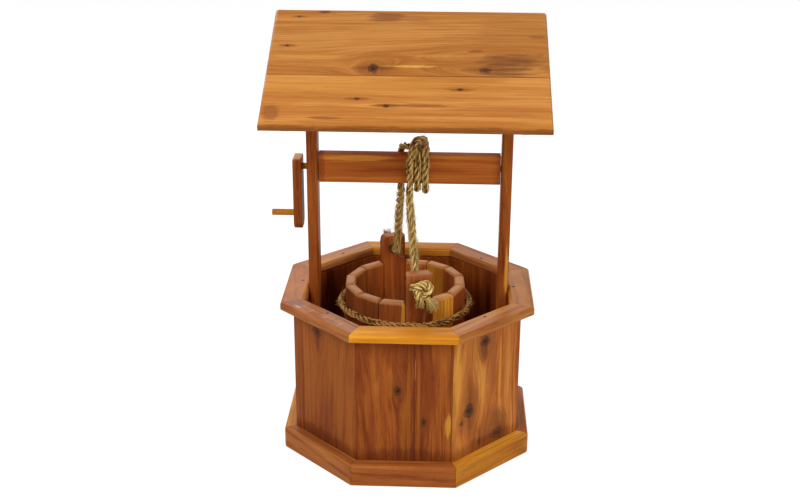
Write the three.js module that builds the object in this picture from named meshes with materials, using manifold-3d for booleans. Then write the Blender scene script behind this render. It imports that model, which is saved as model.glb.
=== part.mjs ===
// Wishing well planter of cedar boards: an eight-sided well with a roof on two posts,
// a winch beam turned by a crank, and a staved bucket that hangs from it by a rope.
// Millimetres, +Z up, the front towards -Y, the crank towards -X.
// The origin is the centre of the underside, on the batten that crosses the base.
import * as THREE from "three";
import { mergeVertices } from "three/addons/utils/BufferGeometryUtils.js";
import Module from "manifold-3d";

const wasm = await Module();
wasm.setup();

// Fits between pieces
const seat_gap = 0.3;
const mitre_gap = 0.3;
const axle_play = 0.35;
const cut_overrun = 20;
const weld_distance = 0.001;

// Well: eight upright boards, mitred to each other
const side_names = [
  "front", "front_right", "right", "back_right", "back", "back_left", "left", "front_left",
];
const wall_face_width = 139.7;
const wall_thickness = 17.5;
const wall_height = 230.2;

// Trim round the top of the well and round its foot
const top_trim_width = 36.5;
const top_trim_thickness = 12.7;
const top_trim_edge_radius = 4.5;
const base_trim_height = 34;
const base_trim_thickness = 17.5;
const base_trim_edge_radius = 5;
const trim_small_radius = 2;

// Floor panel and the batten under it
const batten_width = 36.5;
const batten_height = 15.9;
const floor_thickness = 15.9;
const drain_diameter = 12.7;
const drain_inset = 27.1;
const drain_count = 4;

// Posts, and the gable boards that join them to the roof
const post_thickness = 15.9;
const post_depth = 38;
const post_edge_radius = 5;
const gable_thickness = 11;
const gable_setback = 11.8;
const gable_tip_height = 6;
const gable_tip_radius = 3;

// Roof: two boards on each slope
const roof_pitch = THREE.MathUtils.degToRad(27.3);
const roof_overhang = 28.9;
const roof_board_thickness = 11;
const upper_board_width = 139.7;
const lower_board_width = 98.4;
const roof_edge_radius = 3.5;

// Winch: beam, axles, crank arm and handle
const beam_centre_height = 430;
const beam_height = 44;
const beam_depth = 19;
const beam_end_play = 1.2;
const beam_edge_radius = 2;
const dowel_diameter = 9.5;
const axle_seat_depth = 28;
const far_bore_depth = 11;
const arm_standoff = 7.9;
const arm_thickness = 12.7;
const arm_width = 36;
const arm_above_axle = 15;
const arm_below_axle = 95;
const arm_head_radius = 5;
const arm_foot_radius = 13;
const handle_inset = 22;
const handle_reach = 34;
const crank_headroom = 93;

// Bucket: fourteen staves, two of them tall ears, on a round bottom
const stave_count = 14;
const stave_apothem = 90.5;
const stave_thickness = 15.9;
const stave_top_radius = 5;
const stave_length = 219;
const ear_rise = 44;
const ear_corner_radius = 4;
const ear_top_radius = 2.5;
const ear_hole_drop = 21;
const ear_hole_diameter = 19;
const bucket_offset = -5;
const bucket_turn = THREE.MathUtils.degToRad(15);
const bottom_thickness = 15.9;
const bottom_lift = 9.5;
const bucket_drain_diameter = 9.5;

// Rope
const rope_diameter = 9.5;
const rope_sides = 8;
const hoop_drop = 34;
const hoop_steps_per_stave = 3;
const wrap_gap = 0.8;
const strand_gap = 2;
const riding_gap = 1.2;
const arch_rise = 4.2;
const top_slack = 4;
const loop_sag = 2.6;
const full_turns = 2;
const back_strand_offset = -13;
const front_strand_offset = 1;
const wrap_sides = 6;
const wrap_steps_per_turn = 24;
const leg_steps = 22;
const knot_radius = 14;
const knot_tail_radius = 8.5;
const knot_neck_inset = 3;
const knot_tail_drop = 30;
const knot_tail_rise = 34;
const knot_tail_swing = 9;

// Sizes that follow from the ones above
const side_count = side_names.length;
const wall_apothem = wall_face_width / 2 / Math.tan(Math.PI / side_count);
const wall_inner = wall_apothem - wall_thickness;
const well_top = wall_height + seat_gap + top_trim_thickness;
const floor_underside = batten_height + seat_gap;
const floor_top = floor_underside + floor_thickness;
const drain_circle_radius = wall_inner - drain_inset;
const post_outer = wall_inner - seat_gap;
const post_inner = post_outer - post_thickness;
const post_foot = floor_top + seat_gap;
const roof_length = 2 * (post_outer + seat_gap + gable_thickness + roof_overhang);
const roof_run = (upper_board_width + seat_gap + lower_board_width) * Math.cos(roof_pitch);
const gable_half_span = roof_run - gable_setback;
const gable_foot = beam_centre_height + arm_above_axle + crank_headroom;
const support_peak = gable_foot + gable_tip_height + gable_half_span * Math.tan(roof_pitch);
const ridge_height = support_peak + (seat_gap + roof_board_thickness) / Math.cos(roof_pitch);
const beam_half_length = post_inner - beam_end_play;
const arm_inner = post_outer + arm_standoff;
const arm_outer = arm_inner + arm_thickness;
const handle_drop = arm_below_axle - handle_inset;
const dowel_radius = dowel_diameter / 2;
const bore_radius = dowel_radius + axle_play;
const glued_bore_radius = dowel_radius + seat_gap;
const stave_foot = floor_top + seat_gap;
const stave_inner = stave_apothem - stave_thickness;
const stave_corner = stave_apothem / Math.cos(Math.PI / stave_count);
const bucket_rim_height = stave_foot + stave_length;
const ear_top_height = bucket_rim_height + ear_rise;
const ear_hole_height = ear_top_height - ear_hole_drop;
const rope_radius = rope_diameter / 2;
const strand_spacing = rope_diameter + strand_gap;
const knot_neck_end = stave_inner - knot_neck_inset;

const cedar = { roughness: 0.5, metalness: 0 };
const wall_finish = new THREE.MeshStandardMaterial({ color: 0x9b5528, ...cedar });
const trim_finish = new THREE.MeshStandardMaterial({ color: 0xb9784a, ...cedar });
const sapwood_finish = new THREE.MeshStandardMaterial({ color: 0xdc9a3c, ...cedar });
const frame_finish = new THREE.MeshStandardMaterial({ color: 0x99592c, ...cedar });
const roof_finish = new THREE.MeshStandardMaterial({ color: 0xc8864a, ...cedar });
const bucket_finish = new THREE.MeshStandardMaterial({ color: 0x8a4726, ...cedar });
const floor_finish = new THREE.MeshStandardMaterial({ color: 0x7a4a2a, ...cedar });
const dowel_finish = new THREE.MeshStandardMaterial({ color: 0xc2813a, ...cedar });
const rope_finish = new THREE.MeshStandardMaterial({ color: 0xa98a52, roughness: 0.9, metalness: 0 });

// Solids: a closed geometry as a body that can be joined and cut, and back again

function solidOf(geometry) {
  const bare = geometry.clone();
  bare.deleteAttribute("normal");
  bare.deleteAttribute("uv");
  const merged = mergeVertices(bare, weld_distance);
  return new wasm.Manifold(
    new wasm.Mesh({
      numProp: 3,
      vertProperties: merged.getAttribute("position").array,
      triVerts: new Uint32Array(merged.index.array),
    }),
  );
}

function geometryOf(solid) {
  const mesh = solid.getMesh();
  const geometry = new THREE.BufferGeometry();
  geometry.setAttribute("position", new THREE.BufferAttribute(mesh.vertProperties, 3));
  geometry.setIndex(new THREE.BufferAttribute(mesh.triVerts, 1));
  geometry.computeVertexNormals();
  return geometry;
}

function piece(name, geometry, finish) {
  const mesh = new THREE.Mesh(geometry, finish);
  mesh.name = name;
  return mesh;
}

// Outlines: corners given anticlockwise as [across, up, radius]

function outline(corners) {
  const shape = new THREE.Shape();
  corners.forEach(([x, y, radius], i) => {
    const here = new THREE.Vector2(x, y);
    const before = new THREE.Vector2(...corners.at(i - 1).slice(0, 2)).sub(here).normalize();
    const after = new THREE.Vector2(...corners[(i + 1) % corners.length].slice(0, 2))
      .sub(here)
      .normalize();
    const half = Math.acos(before.dot(after)) / 2;
    const reach = radius / Math.tan(half);
    const start = here.clone().addScaledVector(before, reach);
    const end = here.clone().addScaledVector(after, reach);
    if (i === 0) shape.moveTo(start.x, start.y);
    else shape.lineTo(start.x, start.y);
    if (radius > 0) {
      const middle = before.add(after).normalize().multiplyScalar(radius / Math.sin(half)).add(here);
      const turn_in = start.clone().sub(middle).angle();
      const turn_out = end.clone().sub(middle).angle();
      shape.absarc(middle.x, middle.y, radius, turn_in, turn_out, false);
    }
  });
  shape.closePath();
  return shape;
}

function box(left, right, low, high, radius = 0) {
  return outline([
    [left, low, radius],
    [right, low, radius],
    [right, high, radius],
    [left, high, radius],
  ]);
}

function polygon(apothem, sides) {
  const reach = apothem / Math.cos(Math.PI / sides);
  const corners = Array.from({ length: sides }, (_, i) => {
    const angle = ((2 * i + 1) * Math.PI) / sides - Math.PI / 2;
    return [reach * Math.cos(angle), reach * Math.sin(angle), 0];
  });
  return outline(corners);
}

function roundHole(x, y, diameter) {
  const hole = new THREE.Path();
  hole.absarc(x, y, diameter / 2, 0, 2 * Math.PI, true);
  return hole;
}

// Prisms: an outline drawn in the plane across the named axis, and run along it

function prism(shape, length, segments = 4) {
  return new THREE.ExtrudeGeometry(shape, {
    depth: length,
    steps: 1,
    bevelEnabled: false,
    curveSegments: segments,
  });
}

function alongX(shape, from, to, segments) {
  const turn = new THREE.Matrix4().makeBasis(
    new THREE.Vector3(0, 1, 0),
    new THREE.Vector3(0, 0, 1),
    new THREE.Vector3(1, 0, 0),
  );
  return prism(shape, to - from, segments).applyMatrix4(turn).translate(from, 0, 0);
}

function alongY(shape, from, to, segments) {
  return prism(shape, to - from, segments).rotateX(Math.PI / 2).translate(0, to, 0);
}

function alongZ(shape, from, to, segments) {
  return prism(shape, to - from, segments).translate(0, 0, from);
}

function dowel(radius, from, to) {
  const length = to - from;
  const rod = new THREE.CylinderGeometry(radius, radius, length, 20);
  return rod.rotateZ(-Math.PI / 2).translate(from + length / 2, 0, 0);
}

// One board of a ring: its section runs from mitre to mitre, square to the front
function mitredBoard(section, sides) {
  const half_turn = Math.PI / sides;
  const geometry = prism(section, 1);
  const at = geometry.getAttribute("position");
  for (let i = 0; i < at.count; i++) {
    const reach = at.getX(i);
    const half_length = reach * Math.tan(half_turn) - mitre_gap / 2 / Math.cos(half_turn);
    at.setXYZ(i, (1 - 2 * at.getZ(i)) * half_length, -reach, at.getY(i));
  }
  geometry.computeVertexNormals();
  return geometry;
}

// The ring of eight boards that share one section
function ringOfBoards(prefix, section, finish, special = {}) {
  const ring = new THREE.Group();
  side_names.forEach((side, i) => {
    const board = piece(prefix + side, mitredBoard(section, side_count), special[side] ?? finish);
    board.rotation.z = (i * 2 * Math.PI) / side_count;
    ring.add(board);
  });
  return ring;
}

function walls() {
  return ringOfBoards("wall_board_", box(wall_inner, wall_apothem, 0, wall_height), wall_finish);
}

function topTrim() {
  const low = wall_height + seat_gap;
  const section = outline([
    [wall_inner, low, 0],
    [wall_inner + top_trim_width, low, trim_small_radius],
    [wall_inner + top_trim_width, well_top, top_trim_edge_radius],
    [wall_inner, well_top, top_trim_edge_radius],
  ]);
  return ringOfBoards("top_trim_", section, trim_finish, { front: sapwood_finish });
}

function baseTrim() {
  const inner = wall_apothem + seat_gap;
  const outer = inner + base_trim_thickness;
  const section = outline([
    [inner, 0, 0],
    [outer, 0, trim_small_radius],
    [outer, base_trim_height, base_trim_edge_radius],
    [inner, base_trim_height, 0],
  ]);
  return ringOfBoards("base_trim_", section, trim_finish, { front_right: sapwood_finish });
}

function floor() {
  const group = new THREE.Group();
  const panel = polygon(wall_inner - seat_gap, side_count);
  for (let i = 0; i < drain_count; i++) {
    const angle = ((2 * i + 1) * Math.PI) / drain_count;
    const x = drain_circle_radius * Math.cos(angle);
    const y = drain_circle_radius * Math.sin(angle);
    panel.holes.push(roundHole(x, y, drain_diameter));
  }
  group.add(piece("floor_panel", alongZ(panel, floor_underside, floor_top), floor_finish));
  const reach = wall_inner - seat_gap;
  const batten = box(-batten_width / 2, batten_width / 2, 0, batten_height);
  group.add(piece("floor_batten", alongX(batten, -reach, reach), floor_finish));
  return group;
}

// Height of the roof's supports at a distance in front of or behind the ridge
function supportHeight(distance) {
  return support_peak - distance * Math.tan(roof_pitch);
}

function post(name, side) {
  const shoulder = supportHeight(post_depth / 2);
  const profile = outline([
    [-post_depth / 2, post_foot, 0],
    [post_depth / 2, post_foot, 0],
    [post_depth / 2, shoulder, 0],
    [0, support_peak, 0],
    [-post_depth / 2, shoulder, 0],
  ]);
  const from = side < 0 ? -post_outer : post_inner;
  const blank = solidOf(alongX(profile, from, from + post_thickness));
  const section = box(from, from + post_thickness, -post_depth / 2, post_depth / 2, post_edge_radius);
  const rounded = solidOf(alongZ(section, post_foot - cut_overrun, ridge_height));
  const bore_from = side < 0 ? -post_outer - cut_overrun : post_inner - cut_overrun;
  const bore_to = side < 0 ? -post_inner + cut_overrun : post_inner + far_bore_depth;
  const bore = dowel(bore_radius, bore_from, bore_to).translate(0, 0, beam_centre_height);
  return piece(name, geometryOf(blank.intersect(rounded).subtract(solidOf(bore))), frame_finish);
}

function gable(name, side) {
  const tip = supportHeight(gable_half_span);
  const profile = outline([
    [-gable_half_span, tip - gable_tip_height, gable_tip_radius],
    [gable_half_span, tip - gable_tip_height, gable_tip_radius],
    [gable_half_span, tip, 0],
    [0, support_peak, 0],
    [-gable_half_span, tip, 0],
  ]);
  const inner = post_outer + seat_gap;
  const from = side < 0 ? -inner - gable_thickness : inner;
  return piece(name, alongX(profile, from, from + gable_thickness), frame_finish);
}

// Roof boards lie flat here, top face up and ridge at the back, and their slope tilts them
function roofBoard(section) {
  const half = roof_length / 2;
  const ends = outline([
    [-half, -roof_board_thickness, trim_small_radius],
    [half, -roof_board_thickness, trim_small_radius],
    [half, 0, roof_edge_radius],
    [-half, 0, roof_edge_radius],
  ]);
  const reach = upper_board_width + lower_board_width + cut_overrun;
  const blank = solidOf(alongX(section, -half - cut_overrun, half + cut_overrun));
  const rounded = solidOf(alongY(ends, -reach, cut_overrun));
  return geometryOf(blank.intersect(rounded));
}

function roofSlope(side, turn) {
  const plumb = roof_board_thickness * Math.tan(roof_pitch);
  const ridge_gap = seat_gap / Math.cos(roof_pitch);
  const upper = outline([
    [-upper_board_width, -roof_board_thickness, 0],
    [-plumb - ridge_gap, -roof_board_thickness, 0],
    [-ridge_gap, 0, 0],
    [-upper_board_width, 0, 0],
  ]);
  const joint = upper_board_width + seat_gap;
  const lower = outline([
    [-joint - lower_board_width, -roof_board_thickness, trim_small_radius],
    [-joint, -roof_board_thickness, 0],
    [-joint, 0, 0],
    [-joint - lower_board_width, 0, roof_edge_radius],
  ]);
  const slope = new THREE.Group();
  slope.add(piece(`roof_${side}_upper`, roofBoard(upper), roof_finish));
  slope.add(piece(`roof_${side}_lower`, roofBoard(lower), roof_finish));
  slope.rotation.x = roof_pitch;
  slope.position.z = ridge_height;
  const half = new THREE.Group();
  half.rotation.z = turn;
  half.add(slope);
  return half;
}

// Winch pieces stand round their own axis, which the group then lifts into place

function beam() {
  const section = box(-beam_depth / 2, beam_depth / 2, -beam_height / 2, beam_height / 2, beam_edge_radius);
  const bar = solidOf(alongX(section, -beam_half_length, beam_half_length));
  const seat_start = beam_half_length - axle_seat_depth - seat_gap;
  const left = dowel(glued_bore_radius, -beam_half_length - cut_overrun, -seat_start);
  const right = dowel(glued_bore_radius, seat_start, beam_half_length + cut_overrun);
  const bored = bar.subtract(solidOf(left)).subtract(solidOf(right));
  return piece("winch_beam", geometryOf(bored), frame_finish);
}

function crankArm() {
  const low = -arm_below_axle;
  const profile = outline([
    [-arm_width / 2, low, arm_foot_radius],
    [arm_width / 2, low, arm_foot_radius],
    [arm_width / 2, arm_above_axle, arm_head_radius],
    [-arm_width / 2, arm_above_axle, arm_head_radius],
  ]);
  const blank = solidOf(alongX(profile, -arm_outer, -arm_inner));
  const from = -arm_outer - cut_overrun;
  const to = -arm_inner + cut_overrun;
  const axle_bore = dowel(glued_bore_radius, from, to);
  const handle_bore = dowel(glued_bore_radius, from, to).translate(0, 0, -handle_drop);
  const bored = blank.subtract(solidOf(axle_bore)).subtract(solidOf(handle_bore));
  return piece("crank_arm", geometryOf(bored), frame_finish);
}

function winch() {
  const group = new THREE.Group();
  const seat_start = beam_half_length - axle_seat_depth;
  const far_end = post_inner + far_bore_depth - beam_end_play;
  const handle = dowel(dowel_radius, -arm_outer - handle_reach, -arm_inner);
  group.add(beam());
  group.add(piece("crank_axle", dowel(dowel_radius, -arm_outer, -seat_start), dowel_finish));
  group.add(piece("far_axle", dowel(dowel_radius, seat_start, far_end), dowel_finish));
  group.add(crankArm());
  group.add(piece("crank_handle", handle.translate(0, 0, -handle_drop), dowel_finish));
  group.add(ropeWraps());
  group.position.z = beam_centre_height;
  return group;
}

// Bucket pieces stand round its own axis, and its group turns and shifts them

function stave(height) {
  return outline([
    [stave_inner, stave_foot, 0],
    [stave_apothem, stave_foot, 0],
    [stave_apothem, height, stave_top_radius],
    [stave_inner, height, stave_top_radius],
  ]);
}

function earStave() {
  const section = outline([
    [stave_inner, stave_foot, 0],
    [stave_apothem, stave_foot, 0],
    [stave_apothem, ear_top_height, ear_top_radius],
    [stave_inner, ear_top_height, ear_top_radius],
  ]);
  const half_width = stave_apothem * Math.tan(Math.PI / stave_count);
  const front = outline([
    [-half_width, stave_foot - cut_overrun, 0],
    [half_width, stave_foot - cut_overrun, 0],
    [half_width, ear_top_height, ear_corner_radius],
    [-half_width, ear_top_height, ear_corner_radius],
  ]);
  const blank = solidOf(mitredBoard(section, stave_count));
  const rounded = solidOf(alongY(front, -stave_apothem - cut_overrun, 0));
  const bore = new THREE.Shape();
  bore.absarc(0, ear_hole_height, ear_hole_diameter / 2, 0, 2 * Math.PI, false);
  const hole = solidOf(alongY(bore, -stave_apothem - cut_overrun, 0, 12));
  return geometryOf(blank.intersect(rounded).subtract(hole));
}

function bucketBottom() {
  const disc = polygon(stave_inner - seat_gap, stave_count);
  disc.holes.push(roundHole(0, 0, bucket_drain_diameter));
  const low = stave_foot + bottom_lift;
  return piece("bucket_bottom", alongZ(disc, low, low + bottom_thickness), bucket_finish);
}

function ropeHoop() {
  const reach = stave_corner + seat_gap + rope_radius;
  const steps = hoop_steps_per_stave * stave_count;
  const ring = new THREE.TorusGeometry(reach, rope_radius, rope_sides, steps);
  ring.rotateZ(Math.PI / stave_count).translate(0, 0, bucket_rim_height - hoop_drop);
  return piece("rope_hoop", ring, rope_finish);
}

// A knot outside an ear: a neck through the hole, the ball, and a frayed tail
function knot(name, tail_reach, turn) {
  const ball_at = stave_apothem + seat_gap + knot_radius;
  const ball = new THREE.SphereGeometry(knot_radius, 14, 10);
  const neck_length = ball_at - knot_neck_end;
  const neck = new THREE.CylinderGeometry(rope_radius, rope_radius, neck_length, rope_sides);
  neck.translate(0, neck_length / 2, 0);
  const tail_end = new THREE.Vector3(knot_tail_swing, 0, tail_reach);
  const tail_length = tail_end.length();
  const tail = new THREE.CylinderGeometry(knot_tail_radius, rope_radius, tail_length, rope_sides);
  const lean = new THREE.Quaternion().setFromUnitVectors(
    new THREE.Vector3(0, 1, 0),
    tail_end.clone().normalize(),
  );
  tail.translate(0, tail_length / 2, 0).applyQuaternion(lean);
  const joined = solidOf(ball).add(solidOf(neck)).add(solidOf(tail));
  const mesh = piece(name, geometryOf(joined), rope_finish);
  mesh.position.set(0, -ball_at, ear_hole_height);
  const around = new THREE.Group();
  around.rotation.z = turn;
  around.add(mesh);
  return around;
}

function bucket() {
  const group = new THREE.Group();
  const plain = mitredBoard(stave(bucket_rim_height), stave_count);
  const ear = earStave();
  const back = stave_count / 2;
  for (let i = 0; i < stave_count; i++) {
    const is_ear = i % back === 0;
    const name = is_ear ? (i === 0 ? "ear_stave_front" : "ear_stave_back") : `stave_${i}`;
    const board = piece(name, (is_ear ? ear : plain).clone(), bucket_finish);
    board.rotation.z = (i * 2 * Math.PI) / stave_count;
    group.add(board);
  }
  group.add(bucketBottom());
  group.add(ropeHoop());
  group.add(knot("rope_knot_front", -knot_tail_drop, 0));
  group.add(knot("rope_knot_back", knot_tail_rise, Math.PI));
  group.rotation.z = bucket_turn;
  group.position.x = bucket_offset;
  return group;
}

// Rope along a curve
function ropeAlong(points, steps, sides) {
  const round = new THREE.Shape();
  for (let i = 0; i < sides; i++) {
    const angle = (i * 2 * Math.PI) / sides;
    const x = rope_radius * Math.cos(angle);
    const y = rope_radius * Math.sin(angle);
    if (i === 0) round.moveTo(x, y);
    else round.lineTo(x, y);
  }
  round.closePath();
  const path = new THREE.CatmullRomCurve3(points, false, "centripetal");
  return new THREE.ExtrudeGeometry(round, { steps, bevelEnabled: false, extrudePath: path });
}

function eased([from, to], value) {
  return THREE.MathUtils.smoothstep(value, from, to);
}

// One turn of rope round the beam: up the back, over the top, down the front and under
const wrap_radius = beam_edge_radius + wrap_gap + rope_radius;
const wrap_corner = (wrap_radius * Math.PI) / 2;
const wrap_tall = beam_height - 2 * beam_edge_radius;
const wrap_deep = beam_depth - 2 * beam_edge_radius;
const wrap_loop = 2 * (wrap_tall + wrap_deep) + 4 * wrap_corner;
const front_foot_share = (2 * wrap_tall + wrap_deep + 2 * wrap_corner) / wrap_loop;

// The point a share of the way round that turn, from the foot of the beam's back face
function roundBeam(turn_share, lift) {
  const faces = [
    { length: wrap_tall, at: [wrap_deep / 2, -wrap_tall / 2] },
    { length: wrap_deep, at: [wrap_deep / 2, wrap_tall / 2] },
    { length: wrap_tall, at: [-wrap_deep / 2, wrap_tall / 2] },
    { length: wrap_deep, at: [-wrap_deep / 2, -wrap_tall / 2] },
  ];
  const reach = wrap_radius + lift;
  let left = turn_share * wrap_loop;
  let facing = 0;
  for (const { length, at } of faces) {
    const run = Math.min(left, length);
    const bend = Math.min(Math.max(left - length, 0) / wrap_radius, Math.PI / 2);
    const y = at[0] - run * Math.sin(facing) + reach * Math.cos(facing + bend);
    const z = at[1] + run * Math.cos(facing) + reach * Math.sin(facing + bend);
    left -= length + wrap_corner;
    if (left <= 0) return [y, z];
    facing += Math.PI / 2;
  }
  return roundBeam(0, lift);
}

// Rope wound round the beam: up the back, across the top and down the front, then once
// more beside that, and last a loose turn that rides back over both to the left
const cross_shares = [0.25, 0.5];
const step_shares = [1.25, 1.5];
const return_shares = [2.24, 2.54];
const rise_shares = [2.08, 2.27];
const fall_shares = [2.49, 2.66];
const arch_shares = [2.2, 2.58];

// The turns are a little slack over the beam, and each hangs lower under it than the last
const slack_shares = [0.12, 0.62];
const sag_shares = [0.6, 1.12];

// Swells from nothing to one and back, between two shares
function swell([from, to], value) {
  const along = THREE.MathUtils.clamp((value - from) / (to - from), 0, 1);
  return Math.sin(Math.PI * along) ** 2;
}

function wrapPath() {
  const turns = full_turns + front_foot_share;
  const steps = Math.round(turns * wrap_steps_per_turn);
  const points = [];
  for (let i = 0; i <= steps; i++) {
    const turn = (i / steps) * turns;
    const across =
      back_strand_offset +
      (front_strand_offset + strand_spacing - back_strand_offset) * eased(cross_shares, turn) +
      strand_spacing * eased(step_shares, turn) -
      full_turns * strand_spacing * eased(return_shares, turn);
    const riding = eased(rise_shares, turn) - eased(fall_shares, turn);
    const slack = turn < full_turns ? swell(slack_shares, turn % 1) : 0;
    const under = Math.floor(turn - sag_shares[0]) + 1;
    const sag = under > full_turns ? 0 : under * swell(sag_shares, turn - under + 1);
    const lift =
      (rope_diameter + riding_gap) * riding +
      arch_rise * swell(arch_shares, turn) +
      top_slack * slack +
      loop_sag * sag;
    points.push(new THREE.Vector3(across, ...roundBeam(turn % 1, lift)));
  }
  const down = new THREE.Vector3(0, 0, -rope_diameter);
  return [points[0].clone().add(down), ...points, points.at(-1).clone().add(down)];
}

// The least space between two stretches of a rope that lie further apart along it
function leastGap(points) {
  const apart = 2 * rope_diameter;
  const along = [0];
  points.forEach((p, i) => {
    if (i) along.push(along[i - 1] + p.distanceTo(points[i - 1]));
  });
  let least = Infinity;
  points.forEach((p, i) => {
    points.forEach((q, j) => {
      if (along[j] - along[i] > apart) least = Math.min(least, p.distanceTo(q) - rope_diameter);
    });
  });
  return least;
}

function ropeWraps() {
  const points = wrapPath();
  const smooth = new THREE.CatmullRomCurve3(points, false, "centripetal");
  console.log("rope_wraps least gap to itself, mm:", leastGap(smooth.getSpacedPoints(400)).toFixed(2));
  return piece("rope_wraps", ropeAlong(points, points.length + 4, wrap_sides), rope_finish);
}

// The two stretches of rope that hang from the winch to the ears, as shares of the way
// out to the ear and of the way down to its hole
const back_leg_shares = [
  [0, 0.03],
  [0.18, 0.17],
  [0.4, 0.39],
  [0.63, 0.63],
  [0.86, 0.87],
];
const front_leg_shares = [
  [0, 0.03],
  [0.1, 0.14],
  [0.4, 0.36],
  [0.74, 0.62],
  [0.95, 0.87],
];

function ropeLeg(name, strand, side, shares) {
  const top = strand.clone().setZ(strand.z + beam_centre_height - seat_gap);
  const hang = top.clone().setZ(top.z - rope_diameter);
  const out = new THREE.Vector3(-side * Math.sin(bucket_turn), side * Math.cos(bucket_turn), 0);
  const hole = new THREE.Vector3(bucket_offset, 0, ear_hole_height);
  const end = hole.clone().addScaledVector(out, knot_neck_end - seat_gap);
  const turn = end.clone().addScaledVector(out, -rope_diameter);
  const between = shares.map(
    ([out_share, down_share]) =>
      new THREE.Vector3(
        THREE.MathUtils.lerp(hang.x, turn.x, out_share),
        THREE.MathUtils.lerp(hang.y, turn.y, out_share),
        THREE.MathUtils.lerp(hang.z, turn.z, down_share),
      ),
  );
  const points = [top, hang, ...between, turn, end];
  const length = new THREE.CatmullRomCurve3(points, false, "centripetal").getLength();
  console.log(name, "length, mm:", length.toFixed(1));
  return piece(name, ropeAlong(points, leg_steps, rope_sides), rope_finish);
}

const well = new THREE.Group();
well.add(walls());
well.add(topTrim());
well.add(baseTrim());
well.add(floor());
well.add(post("post_left", -1));
well.add(post("post_right", 1));
well.add(gable("gable_left", -1));
well.add(gable("gable_right", 1));
well.add(roofSlope("front", 0));
well.add(roofSlope("back", Math.PI));
well.add(winch());
well.add(bucket());
const strands = wrapPath();
well.add(ropeLeg("rope_leg_back", strands.at(0), 1, back_leg_shares));
well.add(ropeLeg("rope_leg_front", strands.at(-1), -1, front_leg_shares));

export default well;
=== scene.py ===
import math
import random

import bmesh
import bpy
from mathutils import Matrix, Vector


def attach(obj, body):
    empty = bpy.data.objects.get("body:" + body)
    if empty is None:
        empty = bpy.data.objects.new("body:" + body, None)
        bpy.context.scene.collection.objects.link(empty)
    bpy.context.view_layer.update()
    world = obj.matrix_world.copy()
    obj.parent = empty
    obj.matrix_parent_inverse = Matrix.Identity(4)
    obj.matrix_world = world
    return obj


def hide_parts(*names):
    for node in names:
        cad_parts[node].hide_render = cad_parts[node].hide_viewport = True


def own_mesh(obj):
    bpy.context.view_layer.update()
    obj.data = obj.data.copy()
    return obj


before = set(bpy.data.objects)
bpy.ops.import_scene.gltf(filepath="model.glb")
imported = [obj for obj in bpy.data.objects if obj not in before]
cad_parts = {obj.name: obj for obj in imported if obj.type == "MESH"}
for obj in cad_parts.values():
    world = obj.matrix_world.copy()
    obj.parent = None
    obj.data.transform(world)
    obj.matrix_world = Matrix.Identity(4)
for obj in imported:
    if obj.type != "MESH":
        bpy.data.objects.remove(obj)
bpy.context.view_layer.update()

TURN = 2 * math.pi

# Sizes in millimetres, as the well is built. An edge counts as sharp from SHARP degrees, and is
# still square from SQUARE degrees.
MM, GAP, ARRIS = 0.001, 0.3, 0.5
SHARP, SQUARE = 25, 48

WELL_SIDES = 8
WALL_OUT, WALL_IN, WALL_TOP = 168.63, 151.13, 230.2
RIM_OUT, RIM_LOW, RIM_TOP = 187.63, 230.5, 243.2
FOOT_IN, FOOT_OUT, FOOT_TOP = 168.93, 186.43, 34.0
RIM_NAIL, FOOT_NAIL, NAIL_FLAT = 2.9, 1.2, 0.35

POST_OUT, POST_IN, POST_DEPTH, POST_FOOT = 150.83, 134.93, 38.0, 32.4
RIDGE, PITCH = 659.965, math.radians(27.3)
ROOF_HALF, ROOF_THICK, ROOF_UPPER, ROOF_LOWER = 191.03, 11.0, 139.7, 98.4
SUPPORT_PEAK = RIDGE - (ROOF_THICK + GAP) / math.cos(PITCH)
GABLE_THICK, GABLE_SPAN, GABLE_TIP = 11.0, 200.05, 6.0

AXLE = 430.0
BEAM_HALF, BEAM_DEPTH, BEAM_HEIGHT = 133.73, 19.0, 44.0
DOWEL, DOWEL_SUNK, DOWEL_IN_POST = 4.75, 28.0, 9.8
ARM_IN, ARM_OUT, ARM_WIDTH, ARM_UP, ARM_DOWN = 158.73, 171.43, 36.0, 15.0, 95.0
HANDLE_DROP, HANDLE_REACH = 73.0, 34.0

STAVES = 14
STAVE_OUT, STAVE_IN, STAVE_FOOT, STAVE_TOP, EAR_TOP = 90.5, 74.6, 32.4, 251.4, 295.4
EAR_HOLE, EAR_HOLE_RADIUS, SIDE_SHARE = 274.4, 9.5, 0.6
BUCKET_SHIFT, BUCKET_TURN = -5.0, math.radians(15)
BUCKET_PLACE = Matrix.Translation((BUCKET_SHIFT * MM, 0, 0)) @ Matrix.Rotation(BUCKET_TURN, 4, "Z")

# Rope: radii, numbers and lengths in millimetres, and shares of a rope's or a brush's size
ROPE, ROPE_FULL, STRANDS, YARNS, STEP, CURVE_PARTS = 4.75, 5.7, 3, 6, 1.6, 12
STRAND_REACH, YARN_REACH, YARN_THICK, TWIST = 0.57, 0.29, 0.175, 0.55
SWAY_LENGTH, RIPPLE_LENGTH, BARE_POINTS = 31, 19, 12
WRAP_TALL, WRAP_DEEP, WRAP_BEND, WRAP_TURNS, WRAP_STEPS = 40.0, 15.0, 7.55, 2, 66
WRAP_LOOP = 2 * (WRAP_TALL + WRAP_DEEP) + TURN * WRAP_BEND
ALL_TURNS = WRAP_TURNS + (2 * WRAP_TALL + WRAP_DEEP + math.pi * WRAP_BEND) / WRAP_LOOP
HOOP_REACH, HOOP_HEIGHT = 92.83, 217.4
KNOT_SIZE, KNOT_ROPE, KNOT_YARN, KNOT_OFF, KNOT_POINTS = 4.5, 5.4, 0.23, 12.0, 30
LEG_TOP, LEG_REACH, STRAIGHT, LIFT = 400.2, 71.3, 9.5, 78.7
DOWN = Vector((0, 0, -STRAIGHT))
FIBRE_SHARES = [k / 5 for k in range(6)]
FIBRE_OPEN = [1.0] * 6
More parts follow.
